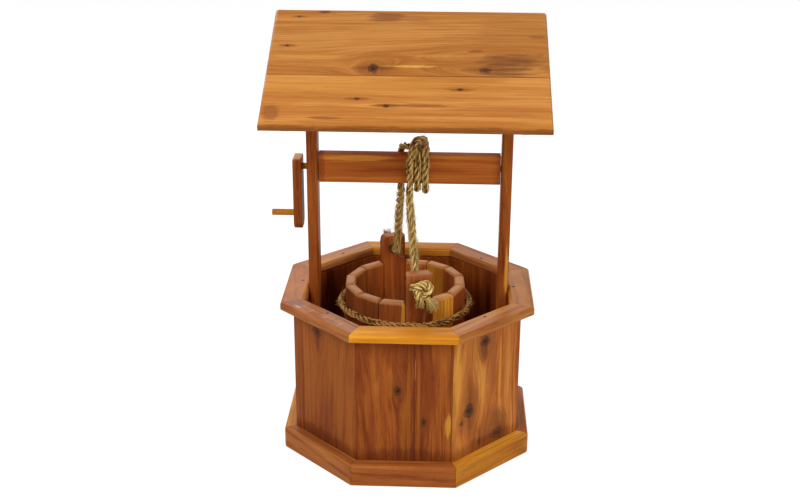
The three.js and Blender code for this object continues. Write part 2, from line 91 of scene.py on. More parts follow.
HAIR_RADII = [0.2, 0.19, 0.17, 0.15, 0.12, 0.08]
BRUSH_TAPER, BRUSH_ROOT, DROOP = (1, 1, 0.9, 0.8, 0.6, 0.3), 3.4, 0.3

WHITE, FLOOR_LIT, FLOOR_GREY = (1.0, 1.0, 1.0, 1), (0.17, 0.17, 0.17, 1), (0.72, 0.71, 0.70, 1)
FLOOR_GLOW, FILL_LIGHT = 0.93, 0.34


def share_of(low, high, value):
    """How far a value has come from one to another, from 0 to 1."""
    return min(max((value - low) / (high - low), 0), 1)


def link_new(name, data):
    made = bpy.data.objects.new(name, data)
    bpy.context.collection.objects.link(made)
    return made


# Camera: 21 degrees above the front and 2 degrees to its right

def aim_camera():
    lens = bpy.data.cameras.new("camera")
    lens.sensor_width = 36
    lens.lens = 56.415
    lens.clip_end = 50
    camera = link_new("camera", lens)
    right = Vector((0.999195, 0.039846, 0.004744))
    up = Vector((-0.018746, 0.358994, 0.933152))
    back = Vector((0.035479, -0.932489, 0.359452))
    turn = Matrix((right, up, back)).transposed().to_4x4()
    camera.matrix_world = Matrix.Translation((0.053925, -1.7686, 0.981008)) @ turn
    bpy.context.scene.camera = camera


# Shader nodes

def paint(code):
    """A colour written as #rrggbb, as the shaders take it."""
    parts = [int(code[i : i + 2], 16) / 255 for i in (1, 3, 5)]
    return (*[p / 12.92 if p <= 0.04045 else ((p + 0.055) / 1.055) ** 2.4 for p in parts], 1)


class Value:
    """What a shader node puts out. Arithmetic on it adds the nodes that work the result out."""

    def __init__(self, socket):
        self.socket = socket

    def __add__(self, other):
        return calc("ADD", self, other)

    def __sub__(self, other):
        return calc("SUBTRACT", self, other)

    def __mul__(self, other):
        return calc("MULTIPLY", self, other)

    def __pow__(self, other):
        return calc("POWER", self, other)


def give(node, values):
    """Links or sets what a node takes."""
    for key, value in values.items():
        if isinstance(value, Value):
            node.id_data.links.new(value.socket, node.inputs[key])
        else:
            node.inputs[key].default_value = value


def put(kind, values=None, tree=None, **settings):
    """A new node, in a given tree or else beside the nodes that its values come from."""
    values = values or {}
    if tree is None:
        tree = next(value.socket.id_data for value in values.values() if isinstance(value, Value))
    node = tree.nodes.new("ShaderNode" + kind)
    for key, value in settings.items():
        setattr(node, key, value)
    give(node, values)
    return node


def work(kind, values=None, out=0, tree=None, **settings):
    """What a new node puts out."""
    return Value(put(kind, values, tree, **settings).outputs[out])


def empty_tree(owner):
    owner.use_nodes = True
    owner.node_tree.nodes.clear()
    return owner.node_tree


def calc(operation, *values):
    return work("Math", dict(enumerate(values)), operation=operation)


def move(operation, *values):
    return work("VectorMath", dict(enumerate(values)), operation=operation)


def split(place):
    return [Value(socket) for socket in put("SeparateXYZ", {0: place}).outputs]


def join(x, y, z):
    return work("CombineXYZ", {0: x, 1: y, 2: z})


def blend(share, first, second):
    return work("Mix", {0: share, 6: first, 7: second}, 2, data_type="RGBA")


def ease_between(value, low, high, to_low=0.0, to_high=1.0):
    values = {0: value, 1: low, 2: high, 3: to_low, 4: to_high}
    return work("MapRange", values, interpolation_type="SMOOTHSTEP")


def noise(place, scale, detail=2.0, rough=0.5, lot=0.0):
    values = {"Vector": place, "W": lot, "Scale": scale, "Detail": detail, "Roughness": rough}
    return work("TexNoise", values, noise_dimensions="4D")


def bump(height, strength, distance):
    return work("Bump", {"Height": height, "Strength": strength, "Distance": distance})


def ramp(value, stops):
    node = put("ValToRGB", {0: value})
    bar = node.color_ramp
    bar.interpolation = "EASE"
    while len(bar.elements) < len(stops):
        bar.elements.new(0.5)
    for element, (place, colour) in zip(bar.elements, stops):
        element.position = place
        element.color = paint(colour)
    return Value(node.outputs[0])


def group(name, vectors, numbers, results):
    """An empty node group: its tree, what it is given, and the node that takes its results."""
    tree = bpy.data.node_groups.new(name, "ShaderNodeTree")
    for labels, way, kind in ((vectors, "INPUT", "Vector"), (numbers, "INPUT", "Float"),
                              (results, "OUTPUT", "Float")):
        for label in labels.split():
            tree.interface.new_socket(label, in_out=way, socket_type="NodeSocket" + kind)
    given = {socket.name: Value(socket) for socket in tree.nodes.new("NodeGroupInput").outputs}
    return tree, given, tree.nodes.new("NodeGroupOutput")


def use(made, values):
    """What a node group makes of some values."""
    return {socket.name: Value(socket) for socket in put("Group", values, node_tree=made).outputs}


def cedar_figure():
    """The figure of a sawn board: At runs along, across and through it, Pith is its heart."""
    tree, given, result = group("cedar figure", "At Pith", "Lot Spacing Wander",
                                "Bands Lines Rings Fibres Clouds")
    at, lot = given["At"], given["Lot"]
    other_lot = lot + 7.3
    waver = (noise(move("MULTIPLY", at, (0.16, 1.0, 1.0)), 14.0, 3.0, 0.5, lot) - 0.5) * given["Wander"]
    along, across, deep = split(at)
    pith_across, pith_deep, lean = split(given["Pith"])
    across = across - pith_across + waver
    deep = deep + pith_deep + along * lean
    reach = calc("SQRT", across ** 2.0 + deep ** 2.0)
    slow = along * 0.045
    grain = join(slow, reach, 0.0)
    drawn = join(slow * 0.3, reach, 0.0)
    turns = calc("DIVIDE", reach, given["Spacing"]) + noise(grain, 110.0, 1.0, 0.5, other_lot) * 1.6
    year = calc("FRACT", turns)
    give(result, {
        "Bands": noise(grain, 70.0, 6.0, 0.68, lot),
        "Lines": noise(drawn, 330.0, 3.0, 0.65, other_lot),
        "Rings": year ** 5.0 * ease_between(year, 1.0, 0.93),
        "Fibres": noise(move("MULTIPLY", at, (0.025, 1.0, 0.7)), 950.0, 3.0, 0.6, lot),
        "Clouds": noise(move("MULTIPLY", at, (0.35, 1.0, 1.0)), 15.0, 3.0, 0.5, lot)})
    return tree


def cedar_knot():
    """A knot: how far it pushes the grain aside, and the masks of its wood, heart, halo and tail."""
    tree, given, result = group("cedar knot", "At Centre Size", "Lot", "Shift Mask Heart Halo Tail")
    away = move("DIVIDE", move("SUBTRACT", given["At"], given["Centre"]), given["Size"])
    along, across, _ = split(away)
    half_wide = split(given["Size"])[1]
    wobble = noise(away, 1.6, 3.0, 0.55, given["Lot"]) - 0.5
    far = (along * 0.42) ** 2.0 + across ** 2.0
    push = calc("DIVIDE", -2.2, calc("MAXIMUM", far, 1.2))
    share = calc("SQRT", along ** 2.0 + across ** 2.0) + wobble * 1.3
    core = share + across * 0.3
    ring = ease_between(calc("ABSOLUTE", core - 0.8), 0.22, 0.04, 0.0, 0.55)
    narrow = ease_between(calc("ABSOLUTE", across) + wobble * 0.6, 0.55, 0.15)
    give(result, {
        "Shift": across * half_wide * push,
        "Mask": ease_between(share, 1.25, 0.7),
        "Heart": calc("MAXIMUM", ease_between(core, 0.66, 0.28), ring),
        "Halo": ease_between(calc("SQRT", far) + wobble * 0.8, 2.3, 0.9),
        "Tail": narrow * ease_between(calc("ABSOLUTE", along), 6.0, 1.0)})
    return tree


def cedar_mark():
    """A stain, streak or patch of other wood, ragged along the grain. It also serves for painted shade and
    a painted highlight.
    """
    tree, given, result = group("cedar mark", "At Grain Centre Size", "Lot", "Mask")
    away = move("DIVIDE", move("SUBTRACT", given["At"], given["Centre"]), given["Size"])
    along, across, _ = split(away)
    ragged = noise(move("MULTIPLY", given["Grain"], (0.08, 1.0, 0.3)), 230.0, 6.0, 0.7, given["Lot"]) - 0.5
    share = calc("SQRT", along ** 2.0 + across ** 2.0) + ragged * 2.1
    give(result, {"Mask": ease_between(share, 1.1, 0.55)})
    return tree


def rope_lay():
    """Fibres of a yarn: Lay is the way along it, round it, and which yarn it is. Yarn comes out as a
    share that differs from one yarn to the next."""
    tree, given, result = group("rope lay", "Lay", "", "Fibres Patches Yarn")
    along, around, yarn = split(given["Lay"])
    turned = (around + along * 40.0) * TURN
    place = join(along * 0.12, calc("SINE", turned) * 0.001, calc("COSINE", turned) * 0.001)
    give(result, {
        "Fibres": noise(place, 2600.0, 3.0, 0.7, yarn),
        "Patches": noise(place, 500.0, 3.0, 0.6, yarn),
        "Yarn": calc("FRACT", calc("SINE", yarn * 12.9898) * 4375.85)})
    return tree


FIGURE = cedar_figure()
KNOT = cedar_knot()
MARK = cedar_mark()
LAY = rope_lay()


# Finishes

KNOT_SHADES = (("Tail", 0.6, "#6a3418"), ("Halo", 0.45, "#84481f"), ("Mask", 0.85, "#5f3a25"),
               ("Heart", 0.8, "#351c11"))
END_GRAIN = "#c98f58"
# Painted shade for the grooves between a rope's yarns.
GROOVE_PAINTED_SHADE = "#523410"


def new_finish(name):
    material = bpy.data.materials.new(name)
    return material, empty_tree(material)


def close(material, values):
    """Ends a finish with its one shader."""
    put("OutputMaterial", {0: work("BsdfPrincipled", values)})
    return material


def attribute(tree, name, out="Vector"):
    return work("Attribute", None, out, tree, attribute_name=name)


def own_place(tree):
    return work("TexCoord", None, "Object", tree)


def spot(flat, lot, along, across, long, wide):
    """What a knot and a mark both take: the board's flat place, and their own place and size."""
    return {"At": flat, "Lot": lot, "Centre": (along * MM, across * MM, 0),
            "Size": (long * MM, wide * MM, 1)}


def cedar(name, tones, knots=(), marks=(), spacing=5.0, wander=6.0, rings=0.45, lines=0.6, spread=0.1,
          laid=True, rough=0.42):
    """Oiled cedar in four tones, deepest first. Knots are (along, across, half long, half wide) on
    the board in millimetres, with a strength where they are faint. Marks add a colour and a strength.
    A board that isn't laid by this script has its grain along X, and neither knots nor marks."""
    material, tree = new_finish(name)
    deep, dark, pale, bright = tones.split()
    if laid:
        at, pith = attribute(tree, "figure"), attribute(tree, "pith")
        lot, tone, end = split(attribute(tree, "board"))
    else:
        at = own_place(tree)
        pith, lot, tone, end = (0.09, 0.06, 0.01), 3.0, 0.0, 0.0
    flat = move("MULTIPLY", at, (1.0, 1.0, 0.0))
    made_knots = []
    for *place, faint in [knot if len(knot) > 4 else (*knot, 1.0) for knot in knots]:
        knot = use(KNOT, spot(flat, lot, *place))
        at = move("ADD", at, join(0.0, knot["Shift"], 0.0))
        made_knots.append((knot, faint))
    figure = use(FIGURE, {"At": at, "Pith": pith, "Lot": lot, "Spacing": spacing * MM,
                          "Wander": wander * MM})
    bands = figure["Bands"] + (figure["Clouds"] - 0.5) * 0.35
    stops = zip((-2.0, -0.6, 0.6, 2.0), (deep, dark, pale, bright))
    colour = ramp(bands, [(0.5 + off * spread, tone_here) for off, tone_here in stops])
    colour = blend(ease_between(figure["Lines"], 0.51, 0.68, 0.0, lines), colour, paint(deep))
    colour = blend(figure["Rings"] * rings, colour, paint(deep))
    for *place, stain, strength in marks:
        mask = use(MARK, {"Grain": at, **spot(flat, lot, *place)})["Mask"]
        colour = blend(mask * strength, colour, blend(0.3, paint(stain), colour))
    for knot, strength in made_knots:
        for part, share, shade in KNOT_SHADES:
            colour = blend(knot[part] * (share * strength), colour, paint(shade))
    colour = blend(end * 0.8, colour, paint(END_GRAIN))
    light = ease_between(figure["Fibres"], 0.3, 0.7, -0.09, 0.09) + tone + 1.0
    return close(material, {
        "Base Color": work("HueSaturation", {"Value": light, "Color": colour}),
        "Roughness": figure["Fibres"] * 0.25 + (rough - 0.12),
        "Specular IOR Level": 0.05,
        "Normal": bump(figure["Rings"] * -0.3 + figure["Fibres"] * -0.5, 0.5, 0.0004)})


def manila(name, pale, middle, deep):
    """Manila fibre in three tones, with painted shade in the grooves between the yarns."""
    material, tree = new_finish(name)
    made = use(LAY, {"Lay": attribute(tree, "lay")})
    value = made["Fibres"] * 0.55 + made["Yarn"] * 0.25 + made["Patches"] * 0.2
    colour = ramp(value, ((0.34, deep), (0.49, middle), (0.62, pale)))
    # Painted shade: the yarns darken where they turn inward, into the grooves.
    groove_painted_shade = ease_between(attribute(tree, "open", "Fac"), 0.8, 0.1, 0.0, 0.65)
    return close(material, {
        "Base Color": blend(groove_painted_shade, colour, paint(GROOVE_PAINTED_SHADE)),
        "Roughness": 0.5,
        "Specular IOR Level": 0.18,
        "Normal": bump(made["Fibres"], 0.8, 0.0003)})


def dark_iron(name, colour, shade):
    """The dulled heads of set nails."""
    material, tree = new_finish(name)
    mottle = noise(own_place(tree), 300.0)
    return close(material, {"Base Color": blend(mottle, paint(colour), paint(shade)), "Roughness": 0.6})


ROOF_TONES = "#98531f #c07a37 #d28e47 #dca159"
WALL_TONES = "#57220d #8a431d #a55924 #bd762d"
STAVE_TONES = "#521a06 #883a10 #a54c16 #bd661e"
AMBER_TONES = "#a35a14 #cf8422 #e79d2c #f2b84a"
RIM_TONES = "#864619 #b56e35 #cc8748 #dd9e5a"
POST_TONES = "#642a0e #904a1c #a95f22 #c07b2e"
ROOF_GRAIN = {"spacing": 6.0, "rings": 0.3, "lines": 0.45, "spread": 0.13}
ROOF_ENDS = ((-192.5, -120, 3.4, 400, "#5f3b2a", 0.75), (192.5, -120, 3.4, 400, "#5f3b2a", 0.75))
AMBER, GOLD, PURPLE, UMBER = "#b46c28", "#e2a03a", "#54241a", "#6e3f22"
HONEY, BROWN, OAT, STRAW = "#e2a24e", "#7c4c2a", "#cf8c3e", "#d29a50"
# Painted shadow: a dark band on the walls just above the foot trim, where they meet it.
FOOT_PAINTED_SHADOW = (FOOT_TOP + 4, 0, 18, 90, "#511f0a", 0.65)
roof_upper = cedar(
    "roof cedar, upper front", ROOF_TONES, wander=22.0, **ROOF_GRAIN,
    knots=((-46.8, -123.5, 6.5, 9.5), (128, -112, 34, 17, 0.15), (164, -102, 24, 13, 0.1),
           (104, -125, 8, 5.5, 0.75), (-167, -78.5, 3, 2), (-156, -14.4, 2.5, 1.5)),
    marks=(*ROOF_ENDS, (145, -60, 70, 70, "#a8642c", 0.6), (136, -114, 44, 26, "#96592f", 0.7),
           (130, -133, 40, 4, "#6f4526", 0.8), (146, -123, 30, 3, BROWN, 0.75),
           (128, -113, 26, 3, BROWN, 0.7), (150, -105, 24, 2.6, BROWN, 0.7),
           (116, -98, 22, 3, "#84542c", 0.7), (152, -94, 18, 3, "#8a5a2e", 0.6),
           (160, -128, 16, 2.6, STRAW, 0.7), (140, -118, 18, 2, STRAW, 0.6),
           (91, -86, 12, 4, "#84431f", 0.8), (120, -138.6, 75, 1.6, "#6e3c16", 0.8),
           (-20, -139, 170, 1.2, "#8a4d1c", 0.6), (176, -54, 12, 4, "#83482f", 0.6),
           (-32, -14, 30, 12, "#80492f", 0.95), (8, -17, 22, 7, "#96583a", 0.55),
           (-121, -4, 9, 4, "#3f2219", 0.9), (-140, -102, 62, 6, HONEY, 0.7),
           (45, -97, 55, 4, HONEY, 0.5), (2, -119.5, 40, 2.6, "#f2bd5a", 0.95),
           (0, -126, 190, 5, "#b06a30", 0.4)))
roof_lower = cedar(
    "roof cedar, lower front", ROOF_TONES, wander=12.0, **ROOF_GRAIN,
    knots=((-64.8, -186, 4, 2.2), (-25.9, -199.2, 4.5, 3), (70.6, -165, 4.5, 2.6)),
    marks=(*ROOF_ENDS, (10, -198, 60, 3.2, "#7a3f1e", 0.95), (-107, -224, 24, 3.2, "#7a4420", 0.9),
           (-176, -216, 13, 17, "#87492a", 0.8), (120, -205, 90, 14, "#a55a22", 0.6),
           (-60, -160, 160, 20, "#d39440", 0.5), (0, -232, 200, 12, "#a55c22", 0.5),
           # The mark below is painted shade on the front face of the eave.
           (0, -240.5, 420, 4, "#6b3a1a", 0.9)))
roof_back = cedar(
    "roof cedar, back", ROOF_TONES, wander=16.0, **ROOF_GRAIN,
    knots=((60, -52, 7, 6), (-112, -96, 4, 2.6), (-40, -190, 5, 3.4), (128, -214, 3, 2)),
    marks=(*ROOF_ENDS, (96, -52, 40, 4, "#8f5728", 0.6), (-60, -120, 90, 6, HONEY, 0.6),
           # The second mark below is painted shade on the face of the eave.
           (30, -222, 80, 4, "#84481f", 0.7), (0, -240.5, 420, 4, "#6b3a1a", 0.6)))
wall_plain = cedar("wall cedar", WALL_TONES, wander=8.0, spread=0.09, marks=(FOOT_PAINTED_SHADOW,))
wall_front = cedar(
    "wall cedar, front", WALL_TONES, wander=7.0, spread=0.085, lines=0.75,
    knots=((148.1, -8.4, 7, 5.2), (98.3, 28.8, 6.5, 3.2)),
    # The pale thin line at 180 along and 15.8 across is a painted highlight, a glint.
    marks=((120, 14.6, 130, 2.8, PURPLE, 0.85), (180, 15.8, 22, 0.9, "#c9885a", 0.7),
           (78, -9.3, 60, 2.2, PURPLE, 0.6), (55, 26.5, 40, 2.2, PURPLE, 0.7),
           (205, -39, 45, 4, "#6b3118", 0.6), (168, 67, 80, 3, PURPLE, 0.7),
           (160, -21, 34, 5, AMBER, 0.7), (110, 6.5, 110, 4, AMBER, 0.65), (80, -1, 60, 5, AMBER, 0.5),
           (120, 21, 110, 2.6, AMBER, 0.6), (94, 64, 22, 4.5, GOLD, 0.9), FOOT_PAINTED_SHADOW))
wall_front_right = cedar(
    "wall cedar, front right", "#783713 #a85a27 #c17232 #d58f3f", wander=14.0, spread=0.085, lines=0.5,
    knots=((105.6, -34.5, 11.5, 9.5), (207.7, -4.4, 7.5, 8.5), (47, 26.9, 9, 13, 0.7),
           (89.8, -50.9, 4, 4, 0.6), (46, -11.8, 8, 3, 0.7)),
    marks=((165, -60, 62, 7, GOLD, 0.75), (150, -52, 80, 12, OAT, 0.4),
           (150, 28, 80, 3.2, GOLD, 0.7), (82, 31, 24, 5, GOLD, 0.6), (150, 47, 70, 4, "#d89a4c", 0.6),
           (45, -56, 30, 10, OAT, 0.7), (60, 14, 38, 34, UMBER, 0.6), (40, 36, 24, 14, UMBER, 0.8),
           (110, -30, 46, 20, "#8e5226", 0.5), (205, -6, 34, 20, "#7c4722", 0.6),
           (170, 12, 60, 8, "#9a5a38", 0.5), (150, -20, 60, 3, UMBER, 0.3), (120, 4, 70, 3, UMBER, 0.3),
           # The umber patch at 62 along and 24 across is painted shade low on the wall, near the foot.
           FOOT_PAINTED_SHADOW, (62, -24, 26, 16, UMBER, 0.4), (192, -6, 22, 7, "#6b3a22", 0.6)))
wall_front_left = cedar(
    "wall cedar, front left", "#5f280f #8c461d #a55a24 #b96f2b", spread=0.115, lines=0.4,
    knots=((209.5, -14.2, 8, 8, 0.85),),
    marks=((120, 30, 120, 5, AMBER, 0.5), (120, -45, 130, 4, AMBER, 0.45), (100, 8, 110, 2.5, UMBER, 0.2),
           (196, -13, 26, 6, "#4f2515", 0.7), FOOT_PAINTED_SHADOW))
rim_cedar = cedar("rim cedar", RIM_TONES, rough=0.38)
rim_edged = cedar(
    "rim cedar, pale inside", RIM_TONES, rough=0.38,
    marks=((0, 153, 200, 8, "#cf8a34", 0.9),))
# Scuffs and saw marks across the top. The pale spot near the outer edge at the left end is partly a scuff
# and partly a painted glint.
rim_scuffed_glinting = cedar(
    "rim cedar, scuffed, painted glint", "#6f3414 #9c5527 #b4703c #c98850", rough=0.34,
    marks=((-62, 170, 22, 12, "#5f3a28", 0.7), (-47, 178, 9, 4, "#e0c3ae", 0.6),
           (-36, 168, 2.0, 9, "#6e4330", 0.6), (-22, 172, 1.6, 8, "#d3a88c", 0.6),
           (-6, 168, 2.4, 9, "#744833", 0.6), (9, 172, 1.8, 8, "#d0a287", 0.6),
           (26, 168, 2.6, 10, "#6f4532", 0.6), (42, 171, 2.0, 8, "#cfa389", 0.5)))
rim_orange = cedar("rim cedar, orange", "#a25a16 #d28426 #e59c38 #f0b252", rough=0.5)
rim_amber = cedar("rim cedar, sapwood", AMBER_TONES, rings=0.5, rough=0.5)
foot_cedar = cedar("foot cedar", "#783a18 #a65c2a #ba7038 #cc8846", rough=0.4)
foot_amber = cedar("foot cedar, sapwood", "#98501a #c87e28 #de9830 #eeb04a", rings=0.5, rough=0.38)
post_cedar = cedar("post cedar", POST_TONES, wander=4.0)
post_striped = cedar(
    "post cedar, striped", POST_TONES, wander=4.0,
    marks=((270, 147, 45, 3.0, GOLD, 0.8),))
beam_cedar = cedar(
    "beam cedar", "#8a4016 #ad5c24 #bd6c2c #cd8236", wander=5.0, rough=0.6,
    marks=((-78, 446, 60, 5, "#dc983c", 1.0), (60, 450, 60, 3, OAT, 0.6),
           (-128, 430, 4, 30, "#5a2510", 0.5)))
stave_cedar = cedar("stave cedar", STAVE_TONES, wander=5.0)
ear_cedar = cedar("ear cedar", "#54200d #853f1a #a05322 #b86e2a", wander=5.0)
stave_amber = cedar("stave cedar, sapwood", "#99540f #c67c1c #de9624 #f0b23e", wander=5.0)
stave_edged = cedar(
    "stave cedar, pale edge", STAVE_TONES, wander=4.0,
    marks=((200, 19, 150, 5.4, "#f2ac38", 1.0),))
dowel_wood = cedar(
    "dowel wood", "#8a4a10 #b06a1a #c88224 #d89c3e", spacing=2.4, wander=2.0, lines=0.3)
floor_cedar = cedar("floor cedar", "#4b2814 #693b20 #7d4b2a #8e5a34", laid=False, wander=9.0, rough=0.6)
bucket_floor = cedar(
    "bucket floor cedar", "#4b2513 #6c371d #824826 #935731", laid=False, wander=9.0, rough=0.6)
manila_rope = manila("manila rope", "#ffe79c", "#cf9f46", "#4c2d0c")
manila_worn = manila("worn manila rope", "#dfa95c", "#97632b", "#36200c")
manila_fray = manila("frayed manila", "#fae09c", "#cfa554", "#85601f")
nail_dark = dark_iron("set nail", "#6f452c", "#3b2114")


# Boards. At first each faces the front or lies along X, in millimetres, and then it is set in place.

X, Y, Z = range(3)
ALONG = Matrix(((1, 0, 0), (0, 1, 0), (0, 0, 1)))
TURNED = Matrix(((1, 0, 0), (0, -1, 0), (0, 0, 1)))
RISING = Matrix(((0, 0, 1), (1, 0, 0), (0, -1, 0)))
FACED = Matrix(((1, 0, 0), (0, 0, 1), (0, -1, 0)))
ACROSS = Matrix(((0, 1, 0), (0, 0, 1), (1, 0, 0)))
SIDES = ("front", "front_right", "right", "back_right", "back", "back_left", "left", "front_left")


def runs(way, axis):
    """Whether a direction runs along X, Y or Z."""
    return abs(way[axis]) > 0.9


def block(low, high):
    """A sawn block between two corners."""
    low, high = Vector(low), Vector(high)
    bm = bmesh.new()
    bmesh.ops.create_cube(bm, size=1)
    bmesh.ops.scale(bm, vec=high - low, verts=bm.verts)
    bmesh.ops.translate(bm, vec=(low + high) / 2, verts=bm.verts)
    return bm


def rod(length, radius, segments, axis, centre):
    """A round rod that lies along X or Y."""
    bm = bmesh.new()
    bmesh.ops.create_cone(
        bm, cap_ends=True, segments=segments, radius1=radius, radius2=radius, depth=length)
    bmesh.ops.rotate(bm, matrix=Matrix.Rotation(math.pi / 2, 3, axis), verts=bm.verts)
    bmesh.ops.translate(bm, vec=centre, verts=bm.verts)
    return bm


def saw(bm, point, normal):
    """Cuts off what lies past a plane, and closes the cut."""
    geometry = bm.verts[:] + bm.edges[:] + bm.faces[:]
    cut = bmesh.ops.bisect_plane(
        bm, geom=geometry, plane_co=point, plane_no=normal, clear_outer=True, clear_inner=False)
    edges = [e for e in cut["geom_cut"] if isinstance(e, bmesh.types.BMEdge)]
    bmesh.ops.edgeloop_fill(bm, edges=edges)


def sharp_edges(bm, least):
    """The edges between two faces that turn by more than some degrees."""
    return [e for e in bm.edges if len(e.link_faces) == 2 and e.calc_face_angle(0) > math.radians(least)]


def bevel(bm, edges, size, segments):
    if edges:
        made = bmesh.ops.bevel(
            bm, geom=edges, offset=size, offset_type="OFFSET", segments=segments, profile=0.5,
            affect="EDGES", material=-1, clamp_overlap=True)
        for face in made["faces"]:
            face.smooth = True


def round_over(bm, radius, picks, segments=5):
    """Rounds the sharp edges that picks chooses by their middle and direction."""
    chosen = []
    for edge in sharp_edges(bm, SHARP):
        start, end = (v.co for v in edge.verts)
        if picks((start + end) / 2, (end - start).normalized()):
            chosen.append(edge)
    bevel(bm, chosen, radius, segments)


def break_edges(bm, size=ARRIS):
    """Takes the sharpness off every edge that is still square."""
    bevel(bm, sharp_edges(bm, SQUARE), size, 2)


def as_object(name, bm, material):
    mesh = bpy.data.meshes.new(name)
    bm.to_mesh(mesh)
    bm.free()
    mesh.materials.append(material)
    return link_new(name, mesh)


def lay_board(name, bm, node, body, slot, grain, finish, tone=0.0, pith=None, place=None, end=None):
    """Gives a board its grain, sets it in place of its node, and lets it ride on its body. Pith says
    where the heart of its log lies, and end how much of the end grain shows at a point."""
    chance = random.Random(name)
    if pith is None:
        pith = (chance.choice((-1, 1)) * chance.uniform(60, 140), chance.uniform(40, 90),
                chance.uniform(-0.03, 0.03))
    lot = chance.uniform(0, 40)
    figure, centre, facts = (bm.verts.layers.float_vector.new(key) for key in ("figure", "pith", "board"))
    for vert in bm.verts:
        vert[figure] = (grain @ vert.co) * MM
        vert[centre] = Vector((pith[0] * MM, pith[1] * MM, pith[2]))
        vert[facts] = Vector((lot, tone, end(vert.co) if end else 0.0))
    bmesh.ops.scale(bm, vec=(MM, MM, MM), verts=bm.verts)
    bmesh.ops.transform(bm, matrix=place or Matrix(), verts=bm.verts)
    made = as_object(name, bm, finish)
    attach(made, body)
    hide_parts(node)


def turn_to(step, sides):
    return Matrix.Rotation(step * TURN / sides, 4, "Z")


def ring_board(sides, inner, outer, low, high, gap=GAP):
    """One board of a ring, facing the front, mitred to its neighbours."""
    half = math.pi / sides
    reach = outer * math.tan(half) + 5
    bm = block((-reach, -outer, low), (reach, -inner, high))
    for side in (-1, 1):
        normal = Vector((side * math.cos(half), math.sin(half), 0))
        saw(bm, normal * (-gap / 2), normal)
    return bm


def ease_corners(bm, outer, depth):
    """Sands the outer corners where a board of the well's rings meets its neighbours."""
    half = math.pi / WELL_SIDES
    for side in (-1, 1):
        outward = Vector((side * math.sin(half), -math.cos(half), 0))
        saw(bm, outward * (outer / math.cos(half) - depth), outward)


def lay_ring(shape, name, node, slot, grain, usual, looks):
    """The eight boards of a ring. Looks names the sides with a finish, tone or pith of their own."""
    for step, side in enumerate(SIDES):
        lay_board(name + side, shape(), node + side, "well", slot, grain, *looks.get(side, (usual,)),
                  place=turn_to(step, WELL_SIDES))


def wall_shape():
    bm = ring_board(WELL_SIDES, WALL_IN, WALL_OUT, 0, WALL_TOP)
    break_edges(bm, 0.9)
    return bm


def rim_shape():
    bm = ring_board(WELL_SIDES, WALL_IN, RIM_OUT, RIM_LOW, RIM_TOP)
    round_over(bm, 5.5, lambda at, way: runs(way, X) and at.z > RIM_TOP - 1, 6)
    round_over(bm, 3.0, lambda at, way: runs(way, X) and at.y > -WALL_IN - 1 and at.z < RIM_LOW + 1, 3)
    round_over(bm, 2.0, lambda at, way: runs(way, X) and at.y < -RIM_OUT + 1 and at.z < RIM_LOW + 1, 3)
    ease_corners(bm, RIM_OUT, 0.9)
    break_edges(bm)
    return bm


def foot_shape():
    bm = ring_board(WELL_SIDES, FOOT_IN, FOOT_OUT, 0, FOOT_TOP)
    round_over(bm, 5.0, lambda at, way: runs(way, X) and at.y < -FOOT_OUT + 1 and at.z > FOOT_TOP - 1)
    round_over(bm, 2.5, lambda at, way: runs(way, X) and at.y < -FOOT_OUT + 1 and at.z < 1, 3)
    ease_corners(bm, FOOT_OUT, 1.3)
    break_edges(bm)
    return bm


def make_well():
    lay_ring(wall_shape, "wall_", "wall_board_", "cedar_wall", RISING, wall_plain, {
        "front": (wall_front, 0.03, (-120, 40, 0.02)),
        "front_right": (wall_front_right, 0.13, (-95, 50, -0.02)),
        "front_left": (wall_front_left, -0.01, (110, 60, 0.02)),
        "left": (wall_plain, -0.05), "right": (wall_plain, 0.06)})
    lay_ring(rim_shape, "rim_", "top_trim_", "cedar_top_trim", TURNED, rim_cedar, {
        "front": (rim_amber, 0.14), "front_left": (rim_scuffed_glinting,), "front_right": (rim_edged, -0.06),
        "right": (rim_edged, -0.14), "left": (rim_cedar, 0.04), "back_left": (rim_cedar, -0.05),
        "back": (rim_orange,)})
    lay_ring(foot_shape, "foot_", "base_trim_", "cedar_base_trim", FACED, foot_cedar, {
        "front": (foot_cedar, 0.03), "front_left": (foot_cedar, -0.06), "right": (foot_cedar, 0.03),
        "front_right": (foot_amber,), "left": (foot_amber,)})


def support(node, side, inner, outer, half_deep, foot, rounding, broken, grain, finish, tone=0.0):
    """A board that carries the roof at one end, sawn to the pitch of both slopes."""
    near, far = sorted((side * inner, side * outer))
    bm = block((near, -half_deep, foot), (far, half_deep, RIDGE))
    round_over(bm, *rounding)
    break_edges(bm, broken)
    peak = Vector((0, 0, SUPPORT_PEAK))
    for slope in (-1, 1):
        saw(bm, peak, Vector((0, slope * math.sin(PITCH), math.cos(PITCH))))
    lay_board(node + "_board", bm, node, "well", "cedar_frame", grain, finish, tone)


def make_supports():
    rounding = (5.0, lambda at, way: runs(way, Z), 6)
    for node, side, *look in (("post_left", -1, post_cedar, 0.2), ("post_right", 1, post_striped, 0.31)):
        support(node, side, POST_IN, POST_OUT, POST_DEPTH / 2, POST_FOOT, rounding, ARRIS, RISING, *look)
    foot = SUPPORT_PEAK - GABLE_SPAN * math.tan(PITCH) - GABLE_TIP
    rounding = (3.0, lambda at, way: runs(way, X) and at.z < foot + 1, 4)
    for node, side in (("gable_left", -1), ("gable_right", 1)):
        support(node, side, POST_OUT + GAP, POST_OUT + GAP + GABLE_THICK, GABLE_SPAN, foot, rounding, 0.8,
                ACROSS, post_cedar)


